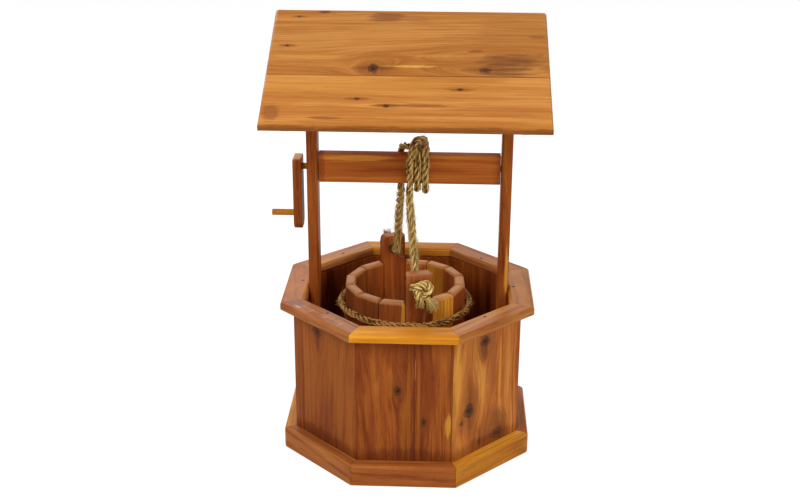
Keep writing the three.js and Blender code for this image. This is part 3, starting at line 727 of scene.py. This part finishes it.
def roof_shape(start, width):
    """A roof board lying flat under its top face, at its distance from the ridge."""
    upper = start == 0
    eave = -start - width
    joint = -ROOF_UPPER if upper else -start
    bm = block((-ROOF_HALF, eave, -ROOF_THICK), (ROOF_HALF, -start, 0))
    if upper:
        ridge_cut = Vector((0, math.cos(PITCH), -math.sin(PITCH)))
        saw(bm, ridge_cut * (-GAP / 2), ridge_cut)

    def worn(at, way):
        outside = runs(way, Y) or not upper and at.y < eave + 1
        return at.z > -1 and abs(way.z) < 0.5 and outside

    round_over(bm, 4.5, worn)
    round_over(bm, 1.4, lambda at, way: runs(way, X) and abs(at.y - joint) < 0.2 and at.z > -1, 3)
    break_edges(bm, 0.7)
    return bm


def make_roof():
    lower = ROOF_UPPER + GAP
    rows = (
        ("front_upper", 0.0, ROOF_UPPER, roof_upper, 0.01, (40, 30, 0.01)),
        ("front_lower", lower, ROOF_LOWER, roof_lower, 0.14, (320, 50, -0.02)),
        ("back_upper", 0.0, ROOF_UPPER, roof_back, -0.03, (-60, 50, 0.05)),
        ("back_lower", lower, ROOF_LOWER, roof_back, 0.03, (-200, 55, 0.07)),
    )
    tilt = Matrix.Translation((0, 0, RIDGE * MM)) @ Matrix.Rotation(PITCH, 4, "X")
    for row, start, width, finish, tone, pith in rows:
        place = (Matrix.Rotation(math.pi, 4, "Z") if "back" in row else Matrix()) @ tilt
        lay_board(f"roof_{row}_board", roof_shape(start, width), "roof_" + row, "well", "cedar_roof",
                  ALONG, finish, tone, pith, place)


def make_beam():
    half = BEAM_HEIGHT / 2
    bm = block((-BEAM_HALF, -BEAM_DEPTH / 2, AXLE - half), (BEAM_HALF, BEAM_DEPTH / 2, AXLE + half))
    round_over(bm, 2.0, lambda at, way: runs(way, X), 4)
    break_edges(bm)
    lay_board("beam_board", bm, "winch_beam", "winch", "cedar_frame", FACED, beam_cedar, 0.2,
              (560, 40, 0.01))


def make_arm():
    half = ARM_WIDTH / 2
    top = AXLE + ARM_UP
    bm = block((-ARM_OUT, -half, AXLE - ARM_DOWN), (-ARM_IN, half, top))
    round_over(bm, 13.0, lambda at, way: runs(way, X) and at.z < AXLE, 9)
    round_over(bm, 5.0, lambda at, way: runs(way, X) and at.z > AXLE)
    break_edges(bm, 1.4)
    lay_board("arm_board", bm, "crank_arm", "winch", "cedar_frame", RISING, post_cedar, 0.12,
              end=lambda at: share_of(top - 2, top, at.z))


def make_dowel(name, node, start, stop, height):
    bm = rod(stop - start, DOWEL, 32, "Y", ((start + stop) / 2, 0, height))
    for face in bm.faces:
        face.smooth = len(face.verts) == 4
    break_edges(bm, 0.7)
    lay_board(name, bm, node, "winch", "dowel_wood", ALONG, dowel_wood, pith=(2, -height + 3, 0.01),
              end=lambda at: float(at.x < start + 0.2))


def make_dowels():
    handle_at = AXLE - HANDLE_DROP
    sunk = BEAM_HALF - DOWEL_SUNK
    make_dowel("handle_dowel", "crank_handle", -ARM_OUT - HANDLE_REACH, -ARM_IN - 1, handle_at)
    make_dowel("crank_axle_dowel", "crank_axle", -ARM_OUT + 0.1, -sunk, AXLE)
    make_dowel("far_axle_dowel", "far_axle", sunk, POST_IN + DOWEL_IN_POST, AXLE)


def bore(bm):
    """Drills an ear's rope hole, square to its face, before its grain is laid."""
    drill = rod(60, EAR_HOLE_RADIUS, 40, "X", (0, -(STAVE_IN + STAVE_OUT) / 2, EAR_HOLE))
    blank = as_object("ear_blank", bm, stave_cedar)
    bit = as_object("ear_bit", drill, stave_cedar)
    hole = blank.modifiers.new("hole", "BOOLEAN")
    hole.object = bit
    hole.solver = "EXACT"
    bpy.context.view_layer.update()
    cut = bpy.data.meshes.new_from_object(blank.evaluated_get(bpy.context.evaluated_depsgraph_get()))
    bored = bmesh.new()
    bored.from_mesh(cut)
    bpy.data.objects.remove(blank)
    bpy.data.objects.remove(bit)
    return bored


def make_bucket():
    """Staves of uneven height, and two tall ones, the ears, in the middle of the front and back."""
    chance = random.Random("bucket")
    back = STAVES // 2
    tones = {0: 0.2, 1: 0.15, 4: 0.12, 5: 0.1, 6: 0.15, back: 0.25, 9: -0.1, 10: -0.08, 11: -0.12,
             12: -0.18, 13: -0.14}
    finishes = {0: ear_cedar, back: ear_cedar, 1: stave_amber, 5: stave_amber, 13: stave_edged}
    ears = {0: "front", back: "back"}
    flank = STAVE_OUT * math.tan(math.pi / STAVES) * SIDE_SHARE
    for step in range(STAVES):
        ear = ears.get(step)
        top = EAR_TOP if ear else STAVE_TOP + chance.uniform(-1.4, 0.8)
        bm = ring_board(STAVES, STAVE_IN, STAVE_OUT, STAVE_FOOT, top, 1.0)
        if ear:
            corner = 1.8 if ear == "front" else 8.0
            round_over(bm, corner, lambda at, way: at.z > top - 1 and abs(at.x) > flank, 6)
            round_over(bm, 1.2, lambda at, way: at.z > top - corner and abs(way.y) < 0.5, 3)
            bm = bore(bm)
            name, node, worn, strength = f"ear_{ear}_board", f"ear_stave_{ear}", 2.5, 0.5
        else:
            round_over(bm, 5.2, lambda at, way: abs(way.z) < 0.5 and at.z > top - 1, 6)
            name, node, worn, strength = f"stave_board_{step}", f"stave_{step}", 6.0, 0.9
        round_over(bm, 1.3, lambda at, way: runs(way, Z) and abs(at.x) > flank, 2)
        break_edges(bm)
        lay_board(name, bm, node, "bucket", "cedar_bucket", RISING, finishes.get(step, stave_cedar),
                  tones.get(step, 0.0), place=BUCKET_PLACE @ turn_to(step, STAVES),
                  end=lambda at: strength * share_of(top - worn, top - worn / 3, at.z))


def nail_head(bm, turn, at, radius, flat):
    """A small domed nail head."""
    verts = bmesh.ops.create_uvsphere(bm, u_segments=12, v_segments=8, radius=radius)["verts"]
    bmesh.ops.scale(bm, vec=flat, verts=verts)
    bmesh.ops.translate(bm, vec=at, verts=verts)
    bmesh.ops.transform(bm, matrix=turn, verts=verts)


def make_nails():
    """Set nails: one in each rim board but the front one, and two or three in each foot board."""
    rim_spots = {"front_right": (-1.0, 161.8), "right": (0.2, 160.0), "back_right": (1.5, 161.2),
                 "back_left": (-10.7, 167.0), "left": (-8.8, 162.9)}
    foot_spots = {"front_right": ((-39.8, 20.9), (-63.8, 18.3), (48.0, 17.0))}
    bm = bmesh.new()
    for step, side in enumerate(SIDES):
        turn = turn_to(step, WELL_SIDES)
        if side != "front":
            along, reach = rim_spots.get(side, (0.0, 161.0))
            nail_head(bm, turn, (along, -reach, RIM_TOP - 0.3), RIM_NAIL, (1, 1, NAIL_FLAT))
        for along, height in foot_spots.get(side, ((-45.0, 17.0), (45.0, 17.0))):
            nail_head(bm, turn, (along, -FOOT_OUT + 0.2, height), FOOT_NAIL, (1, NAIL_FLAT, 1))
    for face in bm.faces:
        face.smooth = True
    bmesh.ops.scale(bm, vec=(MM, MM, MM), verts=bm.verts)
    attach(as_object("set_nails", bm, nail_dark), "well")


def finish_floors():
    """The floors keep the meshes of their nodes."""
    for node, finish in (("floor_panel", floor_cedar), ("floor_batten", floor_cedar),
                         ("bucket_bottom", bucket_floor)):
        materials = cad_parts[node].data.materials
        materials.clear()
        materials.append(finish)


# Rope

def length_of(points):
    return sum((q - p).length for p, q in zip(points, points[1:]))


def smooth_curve(points, closed=False):
    """Evenly spaced points on a smooth curve through the given ones."""
    if closed:
        padded = [points[-1], *points, points[0], points[1]]
    else:
        padded = [points[0] * 2 - points[1], *points, points[-1] * 2 - points[-2]]
    fine = []
    for a, b, c, d in zip(padded, padded[1:], padded[2:], padded[3:]):
        for k in range(CURVE_PARTS):
            t = k / CURVE_PARTS
            fine.append(0.5 * ((2 * b) + (c - a) * t + (2 * a - 5 * b + 4 * c - d) * t * t
                               + (3 * b - a - 3 * c + d) * t ** 3))
    fine.append(padded[-2].copy())
    lengths = [0.0]
    for p, q in zip(fine, fine[1:]):
        lengths.append(lengths[-1] + (q - p).length)
    steps = max(2, round(lengths[-1] / STEP))
    even, j = [], 0
    for i in range(steps + 1):
        want = lengths[-1] * i / steps
        while j < len(lengths) - 2 and lengths[j + 1] < want:
            j += 1
        even.append(fine[j].lerp(fine[j + 1], share_of(lengths[j], lengths[j + 1], want)))
    if closed:
        even[-1] = even[0].copy()
    return even


def places_along(points):
    """Each point of a curve with the way along it there, and two ways off it that don't spin."""
    ends = zip([points[0], *points[:-1]], [*points[1:], points[-1]])
    ways = [(after - before).normalized() for before, after in ends]
    side = ways[0].orthogonal().normalized()
    places = []
    for at, way in zip(points, ways):
        side = (side - way * side.dot(way)).normalized()
        places.append((at, way, side, way.cross(side)))
    return places


def around(side, other, angle):
    return side * math.cos(angle) + other * math.sin(angle)


def drawn_tubes(name, tubes, material, ring=0):
    """Tubes as one mesh that knows the way along and round each of them and how open it lies. A tube
    is a line of points with its radius and its openness at each of them."""
    curve = bpy.data.curves.new(name, "CURVE")
    curve.dimensions = "3D"
    curve.bevel_depth = 1.0
    curve.bevel_resolution = ring
    for line, radii, _ in tubes:
        spline = curve.splines.new("POLY")
        spline.points.add(len(line) - 1)
        for point, at, radius in zip(spline.points, line, radii):
            point.co = (*(at * MM), 1)
            point.radius = radius * MM
    drawn = bpy.data.objects.new(name + "_drawn", curve)
    mesh = bpy.data.meshes.new_from_object(drawn)
    mesh.name = name
    bpy.data.objects.remove(drawn)
    lay = mesh.attributes.new("lay", "FLOAT_VECTOR", "CORNER").data
    uv = mesh.uv_layers[0].data
    values, shown = [], []
    sides = 4 + 2 * ring
    owners = (number for number, tube in enumerate(tubes) for _ in range(sides * (len(tube[0]) - 1)))
    for polygon, number in zip(mesh.polygons, owners):
        opens = tubes[number][2]
        for loop in polygon.loop_indices:
            along, turned = uv[loop].uv
            values += [along * (len(opens) * STEP * MM), turned, float(number)]
            shown.append(opens[round(along * (len(opens) - 1))])
    lay.foreach_set("vector", values)
    mesh.attributes.new("open", "FLOAT", "CORNER").data.foreach_set("value", shown)
    mesh.polygons.foreach_set("use_smooth", [True] * len(mesh.polygons))
    mesh.materials.clear()
    mesh.materials.append(material)
    return link_new(name, mesh)


def yarns(points, radius, thick, pitch, seed, phase=0.0, closed=False):
    """The yarns of a rope as tubes, more open where they lie further out. The finish paints shade on them
    where they lie less open.
    """
    chance = random.Random(seed)
    places = places_along(points)
    total = length_of(points)
    turns, twists = total / pitch, -total / (pitch * TWIST)
    if closed:
        turns, twists = round(turns), round(twists)
    waves, ripples = round(total / SWAY_LENGTH), round(total / RIPPLE_LENGTH)
    tubes = []
    for strand in range(STRANDS):
        sway = chance.uniform(0, 6.28)
        for yarn in range(YARNS):
            full, lag = chance.uniform(0.92, 1.12), chance.uniform(-0.25, 0.25)
            ripple = chance.uniform(0, 6.28)
            line, opens = [], []
            for i, (at, way, side, other) in enumerate(places):
                share = i / (len(points) - 1)
                wave = math.sin(sway + TURN * waves * share)
                out = around(side, other, phase + TURN * (strand / STRANDS + turns * share) + 0.22 * wave)
                spin = lag + TURN * (yarn / YARNS + twists * share)
                loose = full + 0.1 * math.sin(ripple + TURN * ripples * share)
                small = around(out, way.cross(out), spin)
                line.append(at + out * radius * (STRAND_REACH + 0.03 * wave)
                            + small * radius * YARN_REACH * loose)
                opens.append(0.5 + 0.5 * math.cos(spin))
            tubes.append((line, [thick] * len(line), opens))
    return tubes


def hairs(points, radius, count, seed, long=(7, 18), stand=0.5, bare=0):
    """Loose fibres that lift off a rope, but for some bare points at each end."""
    chance = random.Random(seed)
    places = places_along(points)
    tubes = []
    for _ in range(count):
        at, way, side, other = places[chance.randrange(bare, len(points) - bare)]
        out = around(side, other, chance.uniform(0, TURN))
        run = way * chance.choice((-1, 1))
        swirl = way.cross(out) * chance.uniform(-0.5, 0.5)
        reach, lift = chance.uniform(*long), chance.uniform(0.1, stand)
        bend = chance.uniform(-0.5, 0.5)
        start = at + out * radius * 0.85
        line = [start + (run * (1 - lift * t) + swirl * t + out * lift * t * 1.3) * reach * t
                + Vector((0, 0, bend * t * t * reach * 0.5)) for t in FIBRE_SHARES]
        tubes.append((line, HAIR_RADII, FIBRE_OPEN))
    return tubes


def frayed(start, way, spread, reach, count, seed):
    """A brush of fibres that opens out from a cut rope end."""
    chance = random.Random(seed)
    way = Vector(way).normalized()
    side = way.orthogonal().normalized()
    other = way.cross(side)
    tubes = []
    for _ in range(count):
        angle, off = chance.uniform(0, TURN), math.sqrt(chance.random())
        out = around(side, other, angle) * off
        begin = Vector(start) + out * BRUSH_ROOT
        length = reach * chance.uniform(0.65, 1.1)
        curl = chance.uniform(-0.25, 0.25)
        line = [begin + way * length * t + out * spread * t * t
                + side.cross(out) * curl * length * t * t
                + Vector((0, 0, -DROOP * length * t * t * 0.4)) for t in FIBRE_SHARES]
        thick = chance.uniform(0.32, 0.7)
        tubes.append((line, [thick * part for part in BRUSH_TAPER], FIBRE_OPEN))
    return tubes


def lay_rope(name, route, pitch=27.0, radius=ROPE, closed=False, fuzz=60, combed=200):
    """A three-strand rope of many yarns with loose fibres, along a route in millimetres."""
    points = smooth_curve(route, closed)
    bare = 0 if closed else BARE_POINTS
    loose = hairs(points, radius, fuzz, name, bare=bare)
    flat = hairs(points, radius * 1.1, combed, name + " combed", (9, 24), 0.11, bare)
    rope = yarns(points, radius, radius * YARN_THICK, pitch, name, closed=closed)
    made = drawn_tubes(name, rope, manila_rope, 1)
    return made, drawn_tubes(name + "_fibres", loose + flat, manila_fray), points


def set_at(place, point):
    """Where a place in metres puts a point in millimetres."""
    return place @ (Vector(point) * MM) / MM


def tie(body, *pieces):
    """Lets the pieces of a rope ride on a body."""
    for piece in pieces:
        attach(piece, body)


def eased(low, high, value):
    t = share_of(low, high, value)
    return t * t * (3 - 2 * t)


def swell(low, high, value):
    return math.sin(math.pi * share_of(low, high, value)) ** 2


def round_beam(turn, lift):
    """The point a share of the way round the beam, from the foot of its back face."""
    corner = WRAP_BEND * math.pi / 2
    left = turn * WRAP_LOOP
    reach = WRAP_BEND + lift
    deep, tall = WRAP_DEEP / 2, WRAP_TALL / 2
    facing = 0.0
    for length, at_y, at_z in ((WRAP_TALL, deep, -tall), (WRAP_DEEP, deep, tall),
                               (WRAP_TALL, -deep, tall), (WRAP_DEEP, -deep, -tall)):
        run = min(left, length)
        bend = min(max(left - length, 0) / WRAP_BEND, math.pi / 2)
        y = at_y - run * math.sin(facing) + reach * math.cos(facing + bend)
        z = at_z + run * math.cos(facing) + reach * math.sin(facing + bend)
        left -= length + corner
        if left <= 0:
            break
        facing += math.pi / 2
    return y, z


def wrap_route():
    """Up the back of the beam and over, twice round, and a loose turn back across the top."""
    points = []
    for i in range(WRAP_STEPS + 1):
        turn = i / WRAP_STEPS * ALL_TURNS
        across = (-13 + 25.5 * eased(0.25, 0.5, turn) + 11.5 * eased(1.25, 1.5, turn)
                  - 23 * eased(2.24, 2.54, turn))
        slack = swell(0.12, 0.62, turn % 1) if turn < WRAP_TURNS else 0
        under = math.floor(turn - 0.6) + 1
        sag = under * swell(0.6, 1.12, turn - under + 1) if under <= WRAP_TURNS else 0
        arch = 10.7 * (eased(2.08, 2.27, turn) - eased(2.49, 2.66, turn)) + 4.2 * swell(2.2, 2.58, turn)
        y, z = round_beam(turn % 1, arch + 4 * slack + 2.6 * sag)
        points.append(Vector((across, y, z + AXLE)))
    return [points[0] + DOWN, *points, points[-1] + DOWN]


def leg_route(strand, side, shares):
    """A rope leg from the winch to its ear, as it hangs. Shares are of its way across and down."""
    top = strand + Vector((0, 0, -GAP))
    hang = top + DOWN
    out = Vector((-side * math.sin(BUCKET_TURN), side * math.cos(BUCKET_TURN), 0))
    end = Vector((BUCKET_SHIFT, 0, EAR_HOLE)) + out * LEG_REACH
    turn = end - out * STRAIGHT
    between = [Vector((hang.x + (turn.x - hang.x) * a, hang.y + (turn.y - hang.y) * a,
                       hang.z + (turn.z - hang.z) * b)) for a, b in shares]
    return [top, hang, *between, turn, end]


def make_legs():
    strands = wrap_route()
    back = (strands[0], 1, ((0, 0.03), (0.18, 0.17), (0.4, 0.39), (0.63, 0.63), (0.86, 0.87)))
    front = (strands[-1], -1, ((0, 0.03), (0.1, 0.14), (0.4, 0.36), (0.74, 0.62), (0.95, 0.87)))
    for name, leg in (("leg_back", back), ("leg_front", front)):
        route = leg_route(*leg)
        made, whiskers, points = lay_rope(name, route, 40.0, ROPE_FULL, fuzz=55, combed=260)
        path = [p * MM for p in (*points[:-1:3], points[-1])]
        tie("well", made, whiskers)
        for piece in (made, whiskers):
            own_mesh(piece)
        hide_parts("rope_" + name)
        route[0] * MM
        length_of(points) * MM


def make_wraps():
    made, whiskers, _ = lay_rope("winch_rope", wrap_route(), 36.0, ROPE_FULL - 0.4, fuzz=50, combed=110)
    tie("winch", made, whiskers)
    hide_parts("rope_wraps")


def make_hoop():
    """The rope hoop runs round the staves' corners, a little unevenly."""
    chance = random.Random("hoop")
    route = []
    for i in range(3 * STAVES):
        angle = math.pi / STAVES + TURN * i / (3 * STAVES)
        reach = HOOP_REACH + GAP + ROPE - (0.9 if i % 3 else 0.0) + chance.uniform(0, 0.5)
        height = HOOP_HEIGHT + 1.6 * math.sin(angle * 2 + 0.6) + chance.uniform(-0.4, 0.4)
        route.append(set_at(BUCKET_PLACE, (reach * math.cos(angle), reach * math.sin(angle), height)))
    made, whiskers, _ = lay_rope("hoop_rope", route, radius=ROPE + 0.3, closed=True, fuzz=60, combed=90)
    made.data.materials[0] = manila_worn
    end = frayed((23, -95, 217), (-1, -0.25, 0.05), 2.5, 9, 26, "hoop end")
    tuft = frayed((-101, -10, 217), (-0.6, -0.7, 0.35), 3, 12, 12, "hoop tuft")
    tufts = drawn_tubes("hoop_tufts", end + tuft, manila_fray)
    tie("bucket", made, whiskers, tufts)
    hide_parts("rope_hoop")


def knot_route():
    """An overhand knot, pulled snug."""
    turns = [TURN * i / KNOT_POINTS for i in range(KNOT_POINTS)]
    return [Vector(((math.sin(t) + 2 * math.sin(2 * t)) * KNOT_SIZE,
                    -math.sin(3 * t) * KNOT_SIZE * 1.15,
                    (math.cos(t) - 2 * math.cos(2 * t)) * KNOT_SIZE)) for t in turns]


def make_knot(name, ear_turn, tails):
    """A knot outside an ear, with its neck through the hole and its ends frayed."""
    place = BUCKET_PLACE @ Matrix.Rotation(ear_turn, 4, "Z")
    centre = Vector((0, -STAVE_OUT - KNOT_OFF, EAR_HOLE))
    points = smooth_curve([set_at(place, centre + p) for p in knot_route()], True)
    rope = yarns(points, KNOT_ROPE, ROPE * KNOT_YARN, 30.0, name, 0.4, True)
    reaches = [-STAVE_OUT - 8 + 4.0 * i for i in range(7)] + [-STAVE_IN + 3.0]
    neck = smooth_curve([set_at(place, (0, reach, EAR_HOLE)) for reach in reaches])
    rope += yarns(neck, ROPE, ROPE * KNOT_YARN, 27.0, name + " neck", 1.0)
    made = drawn_tubes(name, rope, manila_rope, 1)
    brush = []
    for number, (start, way, *size) in enumerate(tails):
        way = place.to_3x3() @ Vector(way)
        brush += frayed(set_at(place, centre + Vector(start)), way, *size, f"{name} {number}")
    brush += hairs(points, KNOT_ROPE, 45, name, (5, 12), 0.25)
    tie("bucket", made, drawn_tubes(name + "_tails", brush, manila_fray))
    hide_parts("rope_" + name)


def make_knots():
    """Each tail has its start, its way, how far it opens, its length and its number of fibres."""
    make_knot("knot_front", 0.0, (
        ((6, -2, -8), (0.7, -0.25, -0.9), 8.0, 21, 170),
        ((-2, -3, -9), (-0.1, -0.25, -1.0), 4.0, 13, 90),
        ((-8, -1, 6), (-0.6, -0.2, 0.5), 2.0, 7, 14)))
    make_knot("knot_back", math.pi, (
        ((6, 2, 4), (0.1, 0.15, 1.0), 4.5, 23, 70),
        ((-9, 2, 5), (-0.1, 0.15, 1.0), 3.5, 24, 50),
        ((4, -2, -6), (0.3, -0.3, -1.0), 4.0, 16, 50)))


# Stage: a white floor that keeps the shadow, and even studio light

def show(tree, output, seen, other):
    """Puts out one shader for the rays of the camera, of gloss and of glass, and another for the rest."""
    rays = put("LightPath", tree=tree).outputs
    direct = calc("MAXIMUM", Value(rays["Is Camera Ray"]), Value(rays["Is Glossy Ray"]))
    direct = calc("MAXIMUM", direct, Value(rays["Is Transmission Ray"]))
    put(output, {0: work("MixShader", {0: direct, 1: other, 2: seen})})


def make_stage():
    bm = bmesh.new()
    bmesh.ops.create_grid(bm, x_segments=1, y_segments=1, size=14)
    bmesh.ops.translate(bm, vec=(0, 0, -0.0005), verts=bm.verts)
    material = bpy.data.materials.new("white floor")
    tree = empty_tree(material)
    lit = work("BsdfDiffuse", {"Color": FLOOR_LIT}, tree=tree)
    glow = work("Emission", {"Color": WHITE, "Strength": FLOOR_GLOW}, tree=tree)
    floor = work("BsdfDiffuse", {"Color": FLOOR_GREY}, tree=tree)
    show(tree, "OutputMaterial", work("AddShader", {0: lit, 1: glow}), floor)
    as_object("studio_floor", bm, material)


def make_world():
    world = bpy.data.worlds.new("studio")
    bpy.context.scene.world = world
    tree = empty_tree(world)
    white, fill = (work("Background", {"Color": WHITE, "Strength": strength}, tree=tree)
                   for strength in (1.0, FILL_LIGHT))
    show(tree, "OutputWorld", white, fill)


def hang_light(name, at, look, size, power):
    lamp = bpy.data.lights.new(name, "AREA")
    lamp.shape = "RECTANGLE"
    lamp.size, lamp.size_y = size
    lamp.energy = power
    made = link_new(name, lamp)
    made.location = at
    made.rotation_euler = (Vector(look) - Vector(at)).to_track_quat("-Z", "Y").to_euler()


def make_lights():
    make_world()
    hang_light("key_light", (-1.1, -2.0, 2.4), (0, 0, 0.35), (1.6, 1.6), 47)
    hang_light("side_light", (2.0, -1.6, 1.2), (0, 0, 0.3), (1.2, 1.6), 19)
    hang_light("back_light", (-0.5, 1.9, 1.5), (0, 0, 0.3), (1.8, 1.2), 24)


bpy.context.scene.view_settings.view_transform = "Standard"
aim_camera()
for make in (make_legs, make_wraps, make_hoop, make_knots, make_well, make_supports, make_roof, make_beam,
             make_arm, make_dowels, make_bucket, make_nails, finish_floors, make_stage, make_lights):
    make()
